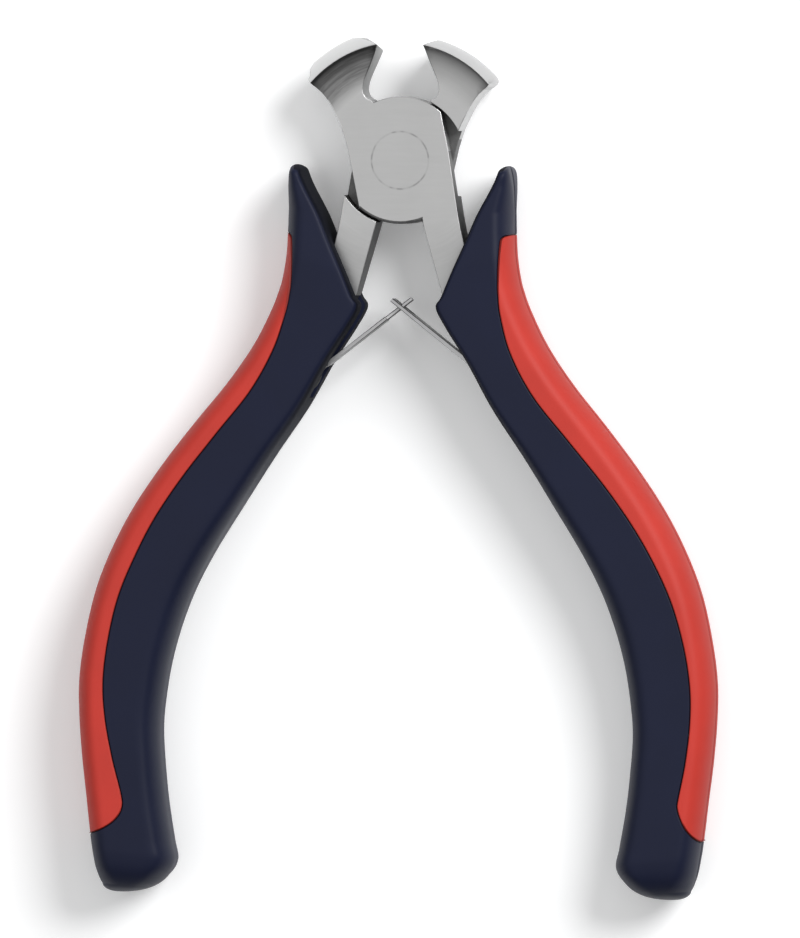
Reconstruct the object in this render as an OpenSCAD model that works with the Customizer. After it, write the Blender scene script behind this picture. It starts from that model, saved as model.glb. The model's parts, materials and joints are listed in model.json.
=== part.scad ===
// End cutting nippers with two interlocking leaf springs and two-colour moulded grips.
// Two forgings of one shape cross in a half-lap joint on a countersunk rivet.
// Each lever is drawn with the jaws closed and the pivot at the origin, then turned open.

/* [Opening] */
// Angle each lever is turned from closed as it lies at rest
open_half = 11.3; // [9:0.1:11.3]

/* [Jaws] */
// Distance from the pivot to the cutting edge
edge_r = 15; // [14.6:0.1:15.6]
// Distance from the centre plane to the outer corner of a jaw
jaw_w = 9.6; // [9.2:0.1:10]
// Length of the cutting edge across the tool
blade_w = 9; // [8:0.1:10]
// Fall of both cutting edges from the front of the tool to its back
edge_fall = 1.1; // [0.8:0.1:1.4]
// Rise of the ground crown over the front jaw's edges
front_crown = 1.9; // [1.4:0.1:2.2]
// Rise of the ground crown over the back jaw's edges
back_crown = 1; // [0.6:0.1:1.4]
// Radius of the front jaw's domed crown, seen from the front
dome_r = 6.7; // [6.5:0.1:7]
// Rounding of the front jaw's outer corner
front_corner_r = 0.5; // [0.3:0.1:0.7]
// Rounding of the back jaw's outer corner
back_corner_r = 1.5; // [1.2:0.1:1.8]
// Radius from the pivot at which the jaws start to flare
flare_r = 10.2; // [9.8:0.1:11]

/* [Joint] */
// Thickness of the two lapped plates together
joint_t = 6.4; // [6:0.1:7]
// Radius of a lap plate's round ends
plate_r = 8.1; // [7.9:0.05:8.3]
// Distance from the pivot to a lap plate's straight sides
plate_side = 6.3; // [6.1:0.1:6.5]
// Gap between the lapped faces
lap_gap = 0.06; // [0.04:0.01:0.1]
// Gap between a plate's round end and the other lever's shoulder
shoulder_gap = 0.25; // [0.2:0.05:0.35]
// Shank diameter of the pivot rivet
shank_d = 5; // [4.6:0.1:5.2]
// Face diameter of the rivet's countersunk heads
head_d = 7.3; // [7:0.1:7.6]
// Radial clearance of the rivet in the back lever
rivet_fit = 0.05; // [0.03:0.01:0.08]

/* [Arms] */
// Thickness of the arms and tangs
arm_t = 4.8; // [4.4:0.1:5.2]
// Distance from the centre plane to an arm's outer side
arm_out = 6; // [5.9:0.05:6.2]
// Distance from the centre plane to an arm's inner side at the shoulder
arm_in = 1.35; // [1.2:0.05:1.5]
// Width of the tang inside the grip
tang_w = 3.4; // [3:0.1:3.6]
// Wall of the grip between the tang and the inlay
tang_wall = 1.2; // [1:0.1:1.4]
// Depth of the spring foot's seat below the grip's inner side
seat_d = 0.9; // [0.8:0.05:1.05]

/* [Grips] */
// Distance from the pivot to the foot of a closed grip
grip_l = 99; // [97.5:0.1:101]
// Distance from the centre plane to the outermost side of a closed grip
grip_reach = 27.4; // [27:0.1:28]
// Thickness of a grip
grip_t = 12; // [11.6:0.1:12.6]
// Rounding of a grip's long edges, across the grip
grip_round = 2.6; // [2:0.1:3]
// Height of that rounding on the grip's sides
grip_rise = 4.8; // [4:0.1:5.2]
// Greatest depth of the inlay from the grip's outer side
inlay_d = 4.3; // [4:0.1:4.5]
// Seam between inlay and grip
inlay_seam = 0.02; // [0.01:0.01:0.04]

/* [Springs] */
// Thickness of the leaf strip
leaf_t = 0.5; // [0.4:0.05:0.55]
// Width of the leaf strip
leaf_w = 3; // [2.8:0.1:3.2]
// Rise of a leaf from the horizontal at rest
leaf_angle = 38.3; // [37.5:0.1:39]
// Reach of the tongue past the crossing
tongue_reach = 1.7; // [1.5:0.1:1.9]
// Reach of the slotted leaf past the crossing
slotted_reach = 1.5; // [1.4:0.1:1.7]
// Width of the tongue
tongue_w = 1.2; // [1:0.1:1.3]
// Side clearance of the tongue in its slot
tongue_gap = 0.2; // [0.15:0.05:0.25]
// Length of the riveted foot
foot_l = 4.7; // [4.4:0.1:5.2]
// Shank diameter of the small rivet in the foot
foot_rivet_d = 1.2; // [1:0.1:1.4]
// Clearance round the leaf in its groove
leaf_gap = 0.3; // [0.25:0.05:0.35]

/* [Hidden] */
steel = "#a9abad";
spring_steel = "#77797c";
navy = "#1d2236";
red = "#cf4a3e";
$fn = 64;
// Overrun of every cut past the face that it opens
over = 1;

// General geometry
function turn(p, a) = [p[0] * cos(a) - p[1] * sin(a), p[0] * sin(a) + p[1] * cos(a)];
function along(a) = [cos(a), sin(a)];
function catmull(a, b, c, d, t) =
    (2 * b + (c - a) * t + (2 * a - 5 * b + 4 * c - d) * t * t
    + (3 * b - a - 3 * c + d) * t * t * t) / 2;
function clamp_row(list, i) = list[max(0, min(len(list) - 1, i))];
// Value of a list of rows at a fractional row number, on a smooth curve through the rows
function row_at(list, x) =
    let (i = min(floor(x), len(list) - 2))
    catmull(clamp_row(list, i - 1), clamp_row(list, i), clamp_row(list, i + 1),
        clamp_row(list, i + 2), x - i);
function smooth_path(list, steps) =
    [for (k = [0 : steps]) row_at(list, k * (len(list) - 1) / steps)];
function arc(r, from, to, steps) = [for (k = [0 : steps]) r * along(from + (to - from) * k / steps)];
function sized(shares, w, h) = [for (p = shares) [p[0] * w, p[1] * h]];

// Lever outline, closed, as shares of the jaw's width and the cutting edge's radius
throat_shares = [[0, 1], [-0.065, 0.927], [-0.135, 0.857], [-0.214, 0.783], [-0.281, 0.713],
    [-0.316, 0.65], [-0.31, 0.603], [-0.284, 0.572], [-0.24, 0.551]];
flank_shares = [[-1, 0.813], [-0.95, 0.765], [-0.86, 0.69], [-0.785, 0.59], [-0.735, 0.48],
    [-0.69, 0.36], [-0.662, 0.2]];
edge_bevel_share = 0.11;
outside_share = 1.2;
corner_end_a = 115;
corner_steps = 6;
throat_steps = 16;
flank_steps = 12;
plate_steps = 12;
shoulder_r = plate_r + shoulder_gap;
throat_end_a = 104.5;
plate_corner_a = acos(plate_side / plate_r);

function upper_outline(corner_r) = concat(
    smooth_path(sized(throat_shares, jaw_w, edge_r), throat_steps),
    arc(plate_r, throat_end_a, plate_corner_a, plate_steps),
    [[plate_side, 0], [-plate_side, 0]],
    [for (i = [flank_steps : -1 : 1])
        smooth_path(sized(flank_shares, jaw_w, edge_r), flank_steps)[i]],
    [for (p = arc(corner_r, 180, corner_end_a, corner_steps))
        [corner_r - jaw_w, edge_r * flank_shares[0][1]] + p],
    [[-jaw_w, edge_r * outside_share],
    [-edge_r * edge_bevel_share, edge_r * outside_share],
    [-edge_r * edge_bevel_share, edge_r * (1 + edge_bevel_share)]]);

// Grip ribs, closed: outer and inner ends as shares of reach and length, then half thickness
// and the inner side's rounding, whose edges are sharp at the mouth
rib_shares = [
    [0.479, 0.0335, 0.443, 0.0335, 0.42, 0.15],
    [0.491, 0.04, 0.429, 0.039, 0.62, 0.15],
    [0.494, 0.06, 0.388, 0.059, 0.8, 0.15],
    [0.478, 0.089, 0.307, 0.089, 0.9, 0.15],
    [0.457, 0.118, 0.228, 0.121, 0.96, 0.15],
    [0.438, 0.148, 0.148, 0.153, 1, 0.15],
    [0.433, 0.177, 0.079, 0.182, 1, 0.15],
    [0.437, 0.195, 0.044, 0.195, 1, 0.18],
    [0.453, 0.222, 0.07, 0.222, 1, 0.24],
    [0.5, 0.27, 0.14, 0.273, 1, 0.32],
    [0.584, 0.325, 0.213, 0.337, 1, 0.44],
    [0.698, 0.385, 0.317, 0.408, 1, 0.58],
    [0.803, 0.444, 0.412, 0.479, 1, 0.72],
    [0.895, 0.505, 0.489, 0.538, 1, 0.85],
    [0.956, 0.562, 0.543, 0.59, 1, 0.95],
    [0.993, 0.619, 0.574, 0.639, 1, 1],
    [1, 0.68, 0.588, 0.688, 1, 1],
    [0.988, 0.735, 0.584, 0.735, 1, 1],
    [0.954, 0.782, 0.566, 0.78, 1, 1],
    [0.904, 0.832, 0.522, 0.827, 1, 1],
    [0.847, 0.881, 0.47, 0.873, 1, 1],
    [0.79, 0.93, 0.408, 0.919, 1, 1],
    [0.757, 0.956, 0.374, 0.943, 0.99, 1],
    [0.726, 0.977, 0.392, 0.9625, 0.9, 1],
    [0.69, 0.994, 0.474, 0.983, 0.68, 1],
    [0.642, 1, 0.555, 0.996, 0.38, 1]];
// Depth of the inlay at each rib, as a share of its greatest depth
inlay_shares = [0, 0, 0, 0.15, 0.24, 0.32, 0.43, 0.51, 0.64, 0.83, 0.95, 0.93, 0.88, 0.86, 0.84,
    0.8, 0.76, 0.76, 0.79, 0.88, 1, 1, 0.9, 0, 0, 0];
// Lean of the inlay's inner side: what its front edge gains and its back edge loses
lean_shares = [0, 0, 0, 0.04, 0.05, 0.06, 0.07, 0.08, 0.1, 0.12, 0.12, 0.1, 0.07, 0.04, 0, -0.03,
    -0.07, -0.1, -0.14, -0.19, -0.23, -0.22, -0.2, 0, 0, 0];
// Top and foot of the inlay and length of its round lobe, as shares of the run of ribs
inlay_top_share = 0.164;
inlay_foot_share = 0.842;
inlay_lobe_share = 0.042;
lobe_power = 1.5;
rib_run = len(rib_shares) - 1;

function rib(x) =
    let (s = row_at(rib_shares, x))
    [[s[0] * grip_reach, -s[1] * grip_l], [s[2] * grip_reach, -s[3] * grip_l],
        min(s[4], 1) * grip_t / 2, min(s[5], 1)];
function rib_width(g) = norm(g[1] - g[0]);
// Depth of the inlay at a rib number, from its back (-1) to its front (1): square at the top,
// round at the foot
function inlay_depth(x, up = 0) =
    x < rib_run * inlay_top_share || x > rib_run * inlay_foot_share ? 0 :
    let (left = (inlay_foot_share - x / rib_run) / inlay_lobe_share)
    inlay_d * (row_at(inlay_shares, x) + up * row_at(lean_shares, x))
        * (1 - pow(max(1 - left, 0), lobe_power));
// Point at a rib, a distance in from its outer end or from its inner end
function from_outer(x, d) =
    let (g = rib(x))
    g[0] + (g[1] - g[0]) * d / rib_width(g);
function from_inner(x, d) = from_outer(x, rib_width(rib(x)) - d);

// Arm outline above the grip, as shares of the arm's sides and of the shoulder's radius
arm_out_shares = [[1, 1.22], [1.02, 1.52], [1.12, 1.92]];
neck_shares = [1.49, 2.1];
// The tang follows the inlay: places as shares of the run of ribs
tang_out_at_shares = [0.32, 0.36, 0.4, 0.44, 0.48, 0.52, 0.56, 0.6];
tang_in_at_shares = [0.45, 0.48, 0.52, 0.56, 0.6];
seat_top_share = 0.3602;
seat_low_share = 0.42;
function tang_side(share, d) =
    let (x = rib_run * share)
    from_outer(x, inlay_depth(x) + tang_wall + d);
arm_neck = [arm_in * neck_shares[0], -shoulder_r * neck_shares[1]];
foot_seat_top = from_inner(rib_run * seat_top_share, seat_d);
foot_seat_low = from_inner(rib_run * seat_low_share, seat_d);
tang_end_share = tang_in_at_shares[len(tang_in_at_shares) - 1];
tang_end = tang_side(tang_end_share, tang_w / 2);
tang_across = tang_side(tang_end_share, tang_w) - tang_end;
tang_end_a = atan2(tang_across[1], tang_across[0]);

lower_outline = concat(
    [[-plate_side, 0]],
    arc(plate_r, 180 + plate_corner_a, 270 + asin(arm_in / plate_r), plate_steps),
    [[arm_in, -shoulder_r], arm_neck, foot_seat_top, foot_seat_low],
    [for (share = tang_in_at_shares) tang_side(share, tang_w)],
    [for (k = [1 : plate_steps - 1])
        tang_end + tang_w / 2 * along(tang_end_a + 180 * k / plate_steps)],
    [for (i = [len(tang_out_at_shares) - 1 : -1 : 0]) tang_side(tang_out_at_shares[i], 0)],
    [for (i = [len(arm_out_shares) - 1 : -1 : 0])
        [arm_out * arm_out_shares[i][0], -shoulder_r * arm_out_shares[i][1]]],
    [[arm_out, -shoulder_r], [plate_side, 0]]);

// Half thickness of the joint, blended down to the arms below the shoulder
blend_end_share = 1.55;
blend_steps = 8;
function ease(t) = t * t * (3 - 2 * t);
side_profile = concat(
    [[over, joint_t / 2]],
    [for (k = [0 : blend_steps])
        [-shoulder_r * (1 + (blend_end_share - 1) * k / blend_steps),
        joint_t / 2 - (joint_t - arm_t) / 2 * ease(k / blend_steps)]],
    [[-grip_l, arm_t / 2], [-grip_l, -arm_t / 2]],
    [for (k = [blend_steps : -1 : 0])
        [-shoulder_r * (1 + (blend_end_share - 1) * k / blend_steps),
        -joint_t / 2 + (joint_t - arm_t) / 2 * ease(k / blend_steps)]],
    [[over, -joint_t / 2]]);

// Turned envelope of a jaw: flat joint faces, a hollow flare, and the ground crown
flare_steps = 8;
crown_steps = 10;
tip_a = 45;
function flare_half(crown) = concat(
    [[0, joint_t / 2], [flare_r, joint_t / 2]],
    [for (k = [1 : flare_steps])
        let (t = k / flare_steps)
        [flare_r + (edge_r - flare_r) * sin(90 * t),
        joint_t / 2 + (blade_w - joint_t) / 2 * (1 - cos(90 * t))]],
    [for (k = [1 : crown_steps / 2])
        let (z = 1 - 2 * k / crown_steps)
        [edge_r + crown * (1 - z * z), blade_w / 2 * z]]);

module jaw_envelope(crown) {
    half = flare_half(crown);
    rotate_extrude()
        polygon(concat(half, [for (i = [len(half) - 2 : -1 : 0]) [half[i][0], -half[i][1]]]));
}

// Barrel that domes the front jaw's crown and lets it fall towards the cutting edge
dome_in_share = 0.403;
dome_up_share = 0.654;
dome_from_share = 0.86;
dome_drop = 0.3;
dome_at = [-jaw_w * dome_in_share, edge_r * dome_up_share];
module jaw_dome() {
    translate(dome_at)
        rotate_extrude()
            polygon(concat([[0, blade_w / 2]],
                [for (k = [0 : crown_steps])
                    let (z = 1 - 2 * k / crown_steps)
                    [dome_r - dome_drop * z * z, blade_w / 2 * z]],
                [[0, -blade_w / 2]]));
    translate([-2 * jaw_w, -edge_r, -blade_w / 2])
        cube([4 * jaw_w, edge_r * (1 + dome_from_share), blade_w]);
}
// Jaw whose tip is ground off aslant, lower at the tool's back: side 1 front lever, -1 back lever
module jaw(crown, corner_r, side) {
    difference() {
        intersection() {
            linear_extrude(blade_w, center = true) polygon(upper_outline(corner_r));
            jaw_envelope(crown);
        }
        translate([0, edge_r, side * blade_w / 2])
            rotate([-side * atan(edge_fall / blade_w), 0, 0])
                rotate([0, 0, -tip_a])
                    translate([-jaw_w, 0, -2 * blade_w])
                        cube([2 * jaw_w, jaw_w, 4 * blade_w]);
    }
}

// Turned body of the pivot rivet, grown by a clearance
module rivet_body(grow) {
    r = shank_d / 2 + grow;
    h = head_d / 2 + grow;
    z = joint_t / 2;
    rotate_extrude()
        polygon([[0, -z], [h, -z], [r, -z + h - r], [r, z - h + r], [h, z], [0, z]]);
}

// Plate, arm and tang below the pivot
module arm_body() {
    intersection() {
        linear_extrude(joint_t, center = true) polygon(lower_outline);
        rotate([90, 0, 90])
            linear_extrude(2 * grip_reach, center = true) polygon(side_profile);
    }
}

// One forging, closed, with its plate in front and its jaw, the child, to the upper left
module lever(grow) {
    difference() {
        union() {
            children();
            arm_body();
        }
        translate([0, 0, lap_gap / 2 - blade_w])
            cylinder(r = shoulder_r, h = blade_w);
        rivet_body(grow);
        foot_rivet_shape();
    }
}

// Oval rounding of a side: across and up, held within the rib's width and height
round_outer_share = 0.56;
round_inner_share = 0.4;
round_height_share = 0.93;
function rounding(g, across) = [across, min(grip_rise * across / grip_round, g[2] * round_height_share)];
function outer_rounding(g) = rounding(g, min(grip_round, rib_width(g) * round_outer_share));
function inner_rounding(g) = rounding(g, min(grip_round * g[3], rib_width(g) * round_inner_share));
round_steps = 5;
round_turns = [for (k = [0 : round_steps]) 90 * k / round_steps];
// Rounded section between a rib's ends: distance from the outer end, height
function section(g) =
    let (w = rib_width(g), h = g[2], o = outer_rounding(g), i = inner_rounding(g))
    concat(
        [for (a = round_turns) [o[0] - o[0] * cos(a), h - o[1] + o[1] * sin(a)]],
        [for (a = round_turns) [w - i[0] + i[0] * sin(a), h - i[1] + i[1] * cos(a)]],
        [for (a = round_turns) [w - i[0] + i[0] * cos(a), -h + i[1] - i[1] * sin(a)]],
        [for (a = round_turns) [o[0] - o[0] * sin(a), -h + o[1] - o[1] * cos(a)]]);
// Half height of that section at a distance from the outer end
function section_rise(g, d) =
    let (o = outer_rounding(g), left = max(1 - d / o[0], 0))
    g[2] - o[1] + o[1] * sqrt(1 - left * left);
function place(g, p) =
    let (xy = g[0] + (g[1] - g[0]) * p[0] / rib_width(g))
    [xy[0], xy[1], p[1]];
function grip_ring(x) =
    let (g = rib(x))
    [for (p = section(g)) place(g, [max(p[0], inlay_depth(x, p[1] / g[2])), p[1]])];
// Inlay: its front face inwards, its inner side down, its back face outwards
face_steps = 6;
side_steps = 6;
function inlay_ring(x) =
    let (g = rib(x),
        front = inlay_depth(x, 1) - inlay_seam,
        back = inlay_depth(x, -1) - inlay_seam,
        high = section_rise(g, front),
        low = -section_rise(g, back),
        shares = [for (k = [0 : face_steps]) 1 - cos(90 * k / face_steps)])
    concat(
        [for (s = shares) place(g, [front * s, section_rise(g, front * s)])],
        [for (k = [1 : side_steps - 1])
            let (z = high + (low - high) * k / side_steps)
            place(g, [inlay_depth(x, z / g[2]) - inlay_seam, z])],
        [for (k = [face_steps : -1 : 0])
            place(g, [back * shares[k], -section_rise(g, back * shares[k])])]);

// Closed skin over a list of rings of one size
module skin(rings) {
    n = len(rings[0]);
    m = len(rings);
    polyhedron(
        points = [for (ring = rings) for (p = ring) p],
        faces = concat(
            [[for (j = [0 : n - 1]) j]],
            [for (i = [0 : m - 2]) for (j = [0 : n - 1])
                [i * n + j, (i + 1) * n + j, (i + 1) * n + (j + 1) % n]],
            [for (i = [0 : m - 2]) for (j = [0 : n - 1])
                [i * n + j, (i + 1) * n + (j + 1) % n, i * n + (j + 1) % n]],
            [[for (j = [n - 1 : -1 : 0]) (m - 1) * n + j]]));
}

// Rib numbers at which rings stand; grip and inlay share those along the inlay
inlay_lip = 0.02;
inlay_top = rib_run * inlay_top_share;
inlay_foot = rib_run * inlay_foot_share;
inlay_lobe = rib_run * inlay_lobe_share;
horn_steps = 8;
wall_steps = 32;
lobe_steps = 6;
foot_steps = 8;
inlay_stations = concat(
    [for (k = [0 : wall_steps])
        inlay_top + (inlay_foot - inlay_lobe - inlay_top) * k / wall_steps],
    [for (k = [1 : lobe_steps])
        inlay_foot - inlay_lobe * (1 - k / lobe_steps) - inlay_lip]);
grip_stations = concat(
    [for (k = [0 : horn_steps - 1]) inlay_top * k / horn_steps],
    [inlay_top - inlay_lip],
    inlay_stations,
    [for (k = [0 : foot_steps])
        inlay_foot + (rib_run - inlay_foot) * k / foot_steps]);

// Spring geometry in the closed lever's frame
seat_dir = (foot_seat_low - foot_seat_top) / norm(foot_seat_low - foot_seat_top);
seat_normal = [seat_dir[1], -seat_dir[0]];
seat_a = atan2(seat_normal[1], seat_normal[0]);
// Gap between the leaf's root and the foot that it bends from
bend_gap = 0.06;
leaf_bend = foot_seat_top + seat_normal * (leaf_t + bend_gap + leaf_t / 2);
leaf_rest_a = 180 - leaf_angle - open_half;
// Length of a leaf from its bend to the centre plane, where the two cross at rest
leaf_l = turn(leaf_bend, open_half)[0] / cos(leaf_angle);
foot_rivet_at_share = 0.6;
foot_rivet_grip = 1.6;
foot_rivet_head = 0.4;
foot_rivet_shares = [[2, 0], [1.6, 0.7], [1, 1]];
foot_rivet_spot = foot_seat_top + seat_dir * foot_l * foot_rivet_at_share;
slot_back_share = 0.16;
slot_end_bar = 0.5;
tongue_root_share = 0.2;

module grip_body() {
    groove_low = foot_seat_top + seat_dir * (foot_l + leaf_gap);
    difference() {
        skin([for (x = grip_stations) grip_ring(x)]);
        arm_body();
        linear_extrude(leaf_w + 2 * leaf_gap, center = true)
            polygon([arm_neck, foot_seat_top, groove_low, groove_low + seat_normal * arm_out,
                arm_neck + seat_normal * arm_out]);
    }
}

module inlay_body() {
    skin([for (x = inlay_stations) inlay_ring(x)]);
}

// Straight strip from the bend at the origin along +X, drawn on edge
module leaf_strip(reach) {
    linear_extrude(leaf_w, center = true) {
        circle(d = leaf_t);
        translate([0, -leaf_t / 2]) square([reach, leaf_t]);
    }
}
module at_bend() {
    translate(leaf_bend) rotate([0, 0, leaf_rest_a]) children();
}
module tongue_leaf() {
    at_bend()
        difference() {
            leaf_strip(leaf_l + tongue_reach);
            for (side = [0, 1])
                mirror([0, 0, side])
                    translate([leaf_l * (1 - tongue_root_share), -leaf_t, tongue_w / 2])
                        cube([leaf_l, 2 * leaf_t, leaf_w]);
        }
}
module slotted_leaf() {
    slot_w = tongue_w + 2 * tongue_gap;
    at_bend()
        difference() {
            leaf_strip(leaf_l + slotted_reach);
            translate([leaf_l * (1 - slot_back_share), -leaf_t, -slot_w / 2])
                cube([leaf_l * slot_back_share + slotted_reach - slot_end_bar, 2 * leaf_t, slot_w]);
        }
}
module foot_strip() {
    difference() {
        translate(foot_seat_top)
            rotate([0, 0, seat_a])
                translate([0, 0, -leaf_w / 2])
                    cube([leaf_t, foot_l, leaf_w]);
        foot_rivet_shape();
    }
}
// Hole of the foot's rivet, square to the seat, through the strip and into the tang
module foot_rivet_shape() {
    r = foot_rivet_d / 2;
    translate(foot_rivet_spot)
        rotate([0, 90, seat_a])
            translate([0, 0, -foot_rivet_grip])
                cylinder(r = r, h = foot_rivet_grip + leaf_t + over);
}
// Rivet of the foot: shank in the tang, low turned head outside
module foot_rivet() {
    r = foot_rivet_d / 2;
    translate(foot_rivet_spot)
        rotate([0, 90, seat_a])
            rotate_extrude()
                polygon(concat([[0, -foot_rivet_grip], [r, -foot_rivet_grip], [r, leaf_t]],
                    [for (p = foot_rivet_shares) [r * p[0], leaf_t + foot_rivet_head * p[1]]],
                    [[0, leaf_t + foot_rivet_head]]));
}

// Origin: middle of the part's box in plan, on the surface that the grips lie on
crown_edge = -edge_r * edge_bevel_share;
crown_r = edge_r + back_crown;
back_top_y = turn([crown_edge, sqrt(crown_r * crown_r - crown_edge * crown_edge)], open_half)[1];
top_y = max(back_top_y, turn(dome_at, open_half)[1] + dome_r);
foot_y = min([for (x = grip_stations) min(turn(rib(x)[0], open_half)[1],
    turn(rib(x)[1], open_half)[1])]);
pivot_place = [0, -(top_y + foot_y) / 2, grip_t / 2];

// Places a piece drawn in the closed front lever's frame on either lever, turned open
module on_front() {
    translate(pivot_place) rotate([0, 0, open_half]) children();
}
module on_back() {
    translate(pivot_place) rotate([0, 0, -open_half]) rotate([0, 180, 0]) children();
}

module front_lever() {
    color(steel)
        on_front()
            lever(0)
                intersection() {
                    jaw(front_crown, front_corner_r, 1);
                    jaw_dome();
                }
}
module back_lever() {
    color(steel) on_back() lever(rivet_fit) jaw(back_crown, back_corner_r, -1);
}
module pivot_rivet() { color(steel) on_front() rivet_body(0); }
module right_grip() { color(navy) on_front() grip_body(); }
module left_grip() { color(navy) on_back() grip_body(); }
module right_grip_inlay() { color(red) on_front() inlay_body(); }
module left_grip_inlay() { color(red) on_back() inlay_body(); }

module left_spring_leaf() { color(spring_steel) on_back() tongue_leaf(); }
module right_spring_leaf() { color(spring_steel) on_front() slotted_leaf(); }
module left_spring_foot() { color(spring_steel) on_back() foot_strip(); }
module right_spring_foot() { color(spring_steel) on_front() foot_strip(); }
module left_spring_rivet() { color(steel) on_back() foot_rivet(); }
module right_spring_rivet() { color(steel) on_front() foot_rivet(); }

front_lever();
back_lever();
pivot_rivet();
right_grip();
left_grip();
right_grip_inlay();
left_grip_inlay();
left_spring_leaf();
right_spring_leaf();
left_spring_foot();
right_spring_foot();
left_spring_rivet();
right_spring_rivet();
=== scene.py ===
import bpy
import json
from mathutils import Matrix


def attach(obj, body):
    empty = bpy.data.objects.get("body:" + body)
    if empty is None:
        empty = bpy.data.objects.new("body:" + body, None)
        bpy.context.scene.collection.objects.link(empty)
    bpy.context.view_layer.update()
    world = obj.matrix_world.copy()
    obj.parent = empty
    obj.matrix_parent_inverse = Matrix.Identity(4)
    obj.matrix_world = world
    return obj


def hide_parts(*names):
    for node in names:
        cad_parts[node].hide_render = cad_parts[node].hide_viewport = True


bl_info = {
    "name": "End cutting nippers",
    "version": (1, 1, 0),
    "blender": (4, 5, 0),
    "location": "View3D > Sidebar > Nippers",
    "description": "Dresses the packed end cutting nippers and sets their studio",
    "category": "Object",
}

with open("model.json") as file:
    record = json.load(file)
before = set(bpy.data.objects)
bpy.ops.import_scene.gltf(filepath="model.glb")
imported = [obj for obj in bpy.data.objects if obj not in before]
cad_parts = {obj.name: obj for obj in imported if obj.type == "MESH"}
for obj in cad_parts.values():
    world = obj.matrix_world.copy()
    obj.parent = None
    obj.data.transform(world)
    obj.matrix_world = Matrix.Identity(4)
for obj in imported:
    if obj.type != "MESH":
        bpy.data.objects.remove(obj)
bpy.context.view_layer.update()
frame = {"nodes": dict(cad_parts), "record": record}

import json
import math

import bmesh
import bpy
import numpy as np
from mathutils import Matrix, Vector
from mathutils.kdtree import KDTree

MM = 0.001
# Centre of the joint, and the turn of each lever between closed and open
PIVOT = Vector(frame["record"]["behaviour"]["joints"][0]["pos_m"])
OPEN_HALF = math.radians(11.3)

# Lengths below are in millimetres and angles in degrees, if nothing else is said

# One grip, closed, from the pivot, with its outer side to the right
GRIP_REACH = 27.4
GRIP_LENGTH = 99.0
GRIP_HALF = 6.0
# Rounding of its long edges: across and up, and how much of a narrow rib it may take
ROUND_ACROSS = 2.6
ROUND_UP = 4.8
ROUND_OUTER_SHARE = 0.56
ROUND_INNER_SHARE = 0.4
ROUND_HEIGHT_SHARE = 0.93
# Inlay: greatest depth, then its ends and its lobe as shares of the run of ribs
INLAY_DEPTH = 4.3
INLAY_TOP_SHARE = 0.164
INLAY_FOOT_SHARE = 0.842
INLAY_LOBE_SHARE = 0.042
# Fullness of the lobe at the grip's back and front
LOBE_POWERS = (2.2, 1.5)
# Rounding of the inlay's inner corner at its top: its depth, and its length in ribs
TOP_ROUND = 0.55
TOP_ROUND_RIBS = 0.2
# How much less deep the inlay is than the pocket that it fills
INLAY_PLAY = 0.02
# Radius and first angle of the domes that close the horn and the foot
HORN_CAP = (0.9, 8)
FOOT_CAP = (1.8, 20)
CAP_LAST_ANGLE = 87
# Mould's parting line: heights about it that get a ring each, as shares of the reach, the
# reach, and how deep the line is and how strong its painted shade, beside its middle
PARTING_PLACES = (-1, -0.6, 0, 0.6, 1)
PARTING_REACH = 0.55
PARTING_SIDE = 0.7
# The same height and reach where the side wall is low, as shares of the wall
PARTING_LOW = 0.25
PARTING_LOW_REACH = 0.6
# Fading of the seam's depth and of its painted shade to the sides
SEAM_POWER = 2
SEAM_SHADE_POWER = 1.6
# Depth at which the grip's length is measured, and spacing of the seam's points
UNROLL_DEPTH = 1.5
SEAM_SPACING = 0.04

# Numbers of strips in the grip's mesh: lower and upper side wall, flat front and back,
# rounded edge, inner side, inlay's front and back, inlay's inner side, seam's ends, domes
WALL_LOW_STEPS = 5
WALL_HIGH_STEPS = 4
FLAT_STEPS = 28
ROUND_STEPS = 10
INNER_STEPS = 6
INLAY_STEPS = 26
CLOSING_STEPS = 5
END_STEPS = 40
CAP_STEPS = 12
# Stations along the grip, in ribs: close ones on both sides of the inlay's top, then the
# numbers of the others
NEAR_TOP = (0.0, 0.003, 0.008, 0.018, 0.03, 0.045, 0.065, 0.09, 0.12, 0.16, 0.2)
NEAR_TOP_END = 0.26
LOBE_LEAD = 0.3
LOBE_STOP = 0.01
HORN_STATIONS = 44
STRETCH_STATIONS = 190
LOBE_STATIONS = 70
FOOT_STATIONS = 60

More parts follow.
